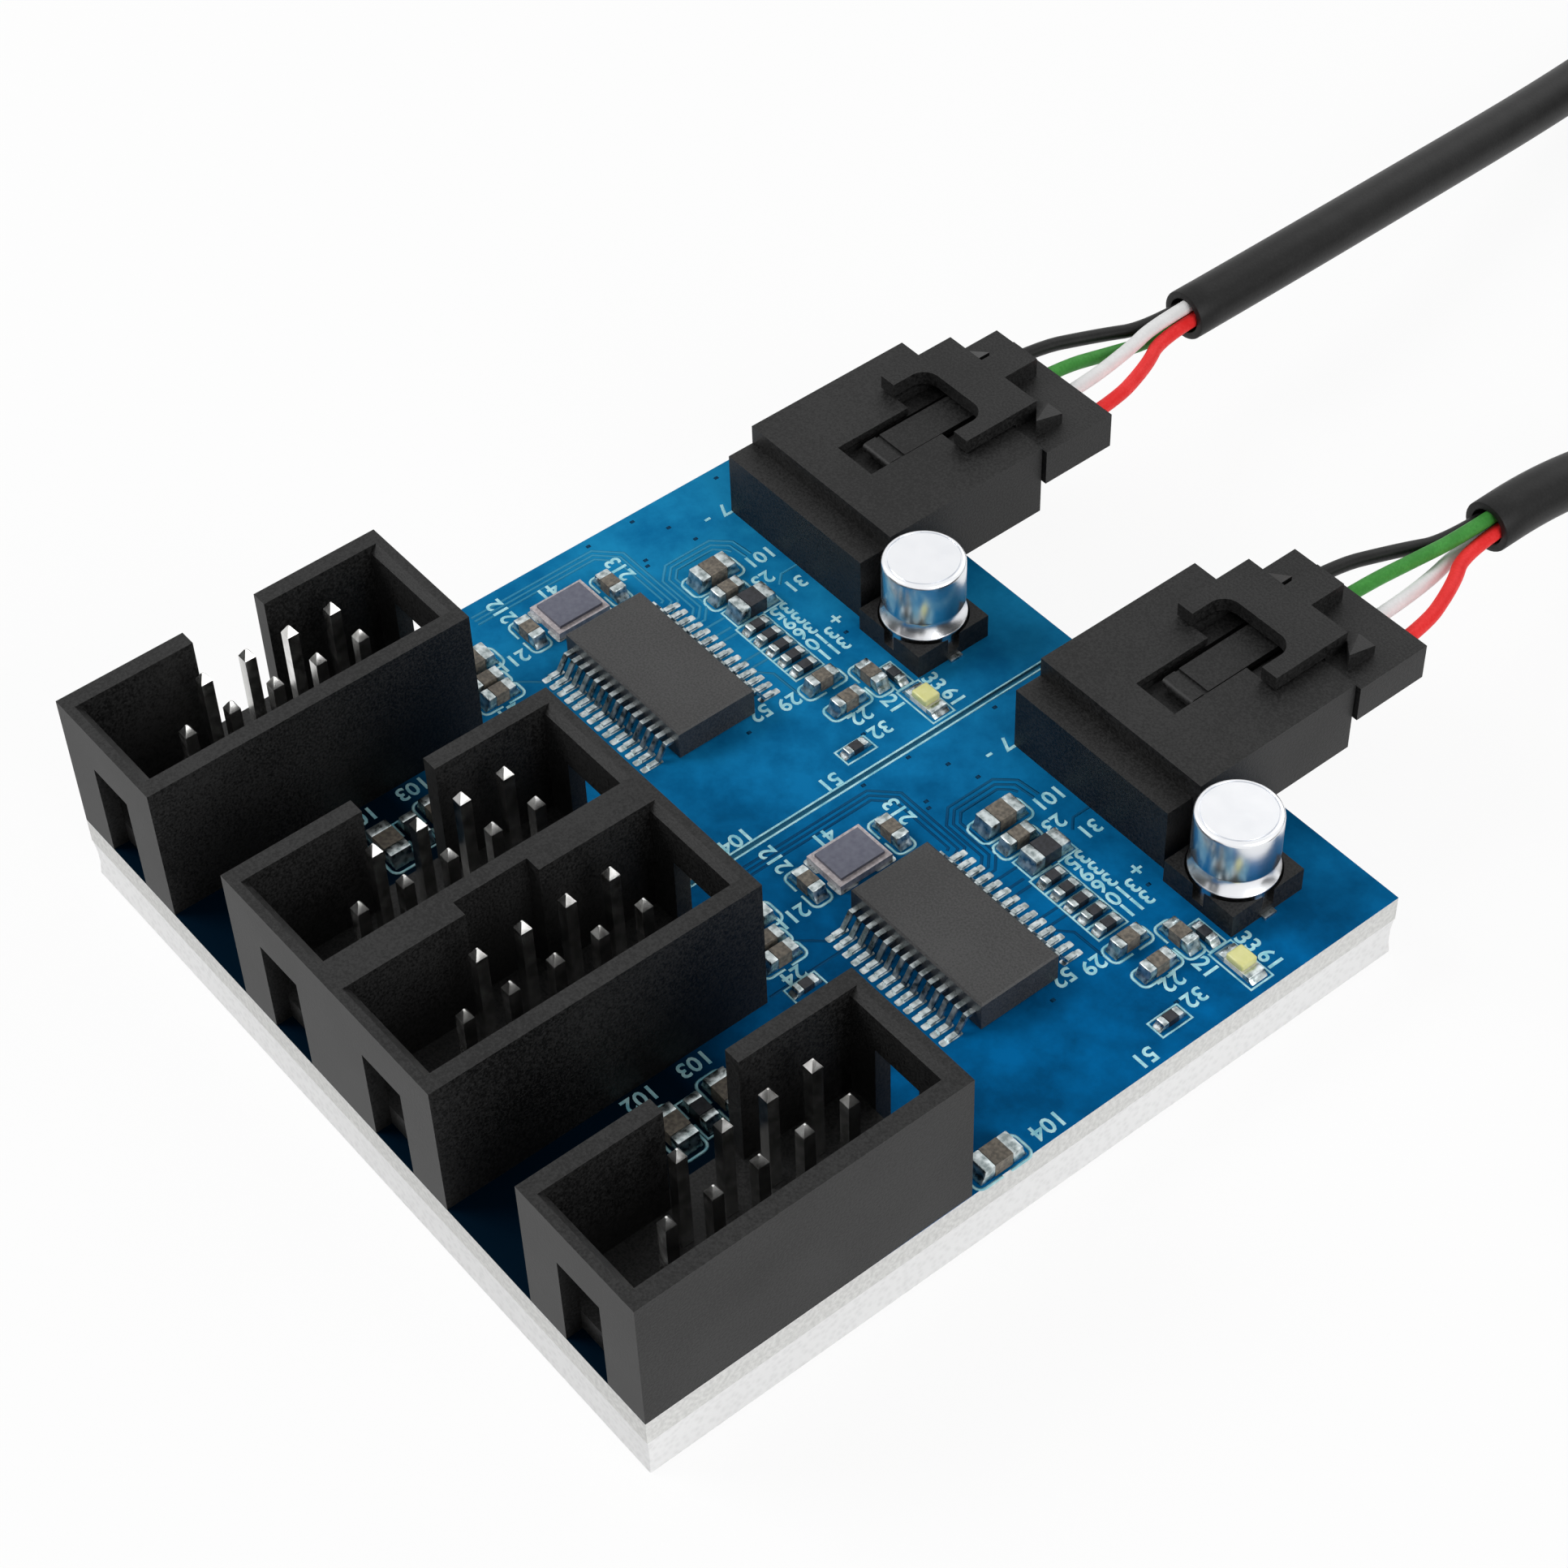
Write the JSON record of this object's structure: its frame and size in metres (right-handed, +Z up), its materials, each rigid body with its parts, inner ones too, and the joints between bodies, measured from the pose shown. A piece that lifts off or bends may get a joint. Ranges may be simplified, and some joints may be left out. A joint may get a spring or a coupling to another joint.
{
  "type": "internal usb hub card",
  "caption": "Small square circuit board with a row of shrouded pin headers, hub chips and latched signal cables, stuck down by a foam pad.",
  "frame": {"origin": "centre of the foam pad's underside", "axes": "+X along the row of headers, +Y from the headers towards the cables, +Z up off the board"},
  "size_m": [0.0744, 0.1528, 0.0127],
  "materials": {
    "board_laminate": "blue solder mask over glass laminate, satin gloss",
    "pad_foam": "closed-cell foam with a paper backing, matt",
    "black_moulding": "fine spark-eroded black glass-filled moulding",
    "pin_plating": "bright tin plating over brass",
    "tinned_metal": "dull tin plating",
    "chip_moulding": "black epoxy moulding, matt",
    "can_aluminium": "bright drawn aluminium",
    "crystal_case": "plated lid on a ceramic tray",
    "resistor_glaze": "black glass glaze",
    "capacitor_ceramic": "tan fired ceramic",
    "lamp_case": "white lamp base with plated ends",
    "lamp_resin": "pale yellow clear resin",
    "black_insulation": "soft extruded insulation",
    "green_insulation": "soft extruded insulation",
    "white_insulation": "soft extruded insulation",
    "red_insulation": "soft extruded insulation",
    "cable_jacket": "soft satin cable jacket",
    "tie_strip": "plain black tie"
  },
  "bodies": {
    "root": {"circuit_board": "board_laminate", "adhesive_pad": "pad_foam", "box_header_1": "black_moulding", "header_pins_1": "pin_plating", "box_header_2": "black_moulding", "header_pins_2": "pin_plating", "box_header_3": "black_moulding", "header_pins_3": "pin_plating", "box_header_4": "black_moulding", "header_pins_4": "pin_plating", "cable_socket_left": "black_moulding", "socket_pins_left": "tinned_metal", "latch_plug_left": "black_moulding", "crimp_terminals_left": "tinned_metal", "hub_chip_left": "chip_moulding", "chip_leads_left": "tinned_metal", "capacitor_can_left": "can_aluminium", "capacitor_base_left": "black_moulding", "capacitor_tabs_left": "tinned_metal", "crystal_left": "crystal_case", "chip_resistors_left": "resistor_glaze", "chip_capacitors_left": "capacitor_ceramic", "solder_ends_left": "tinned_metal", "lamp_base_left": "lamp_case", "lamp_lens_left": "lamp_resin", "black_wire_left": "black_insulation", "green_wire_left": "green_insulation", "white_wire_left": "white_insulation", "red_wire_left": "red_insulation", "cable_lead_left": "cable_jacket", "cable_coil_left": "cable_jacket", "cable_tail_left": "cable_jacket", "coil_tie_left": "tie_strip", "far_plug_left": "black_moulding", "cable_socket_right": "black_moulding", "socket_pins_right": "tinned_metal", "latch_plug_right": "black_moulding", "crimp_terminals_right": "tinned_metal", "hub_chip_right": "chip_moulding", "chip_leads_right": "tinned_metal", "capacitor_can_right": "can_aluminium", "capacitor_base_right": "black_moulding", "capacitor_tabs_right": "tinned_metal", "crystal_right": "crystal_case", "chip_resistors_right": "resistor_glaze", "chip_capacitors_right": "capacitor_ceramic", "solder_ends_right": "tinned_metal", "lamp_base_right": "lamp_case", "lamp_lens_right": "lamp_resin", "black_wire_right": "black_insulation", "green_wire_right": "green_insulation", "white_wire_right": "white_insulation", "red_wire_right": "red_insulation", "cable_lead_right": "cable_jacket", "cable_coil_right": "cable_jacket", "cable_tail_right": "cable_jacket", "coil_tie_right": "tie_strip", "far_plug_right": "black_moulding"}
  },
  "joints": []
}
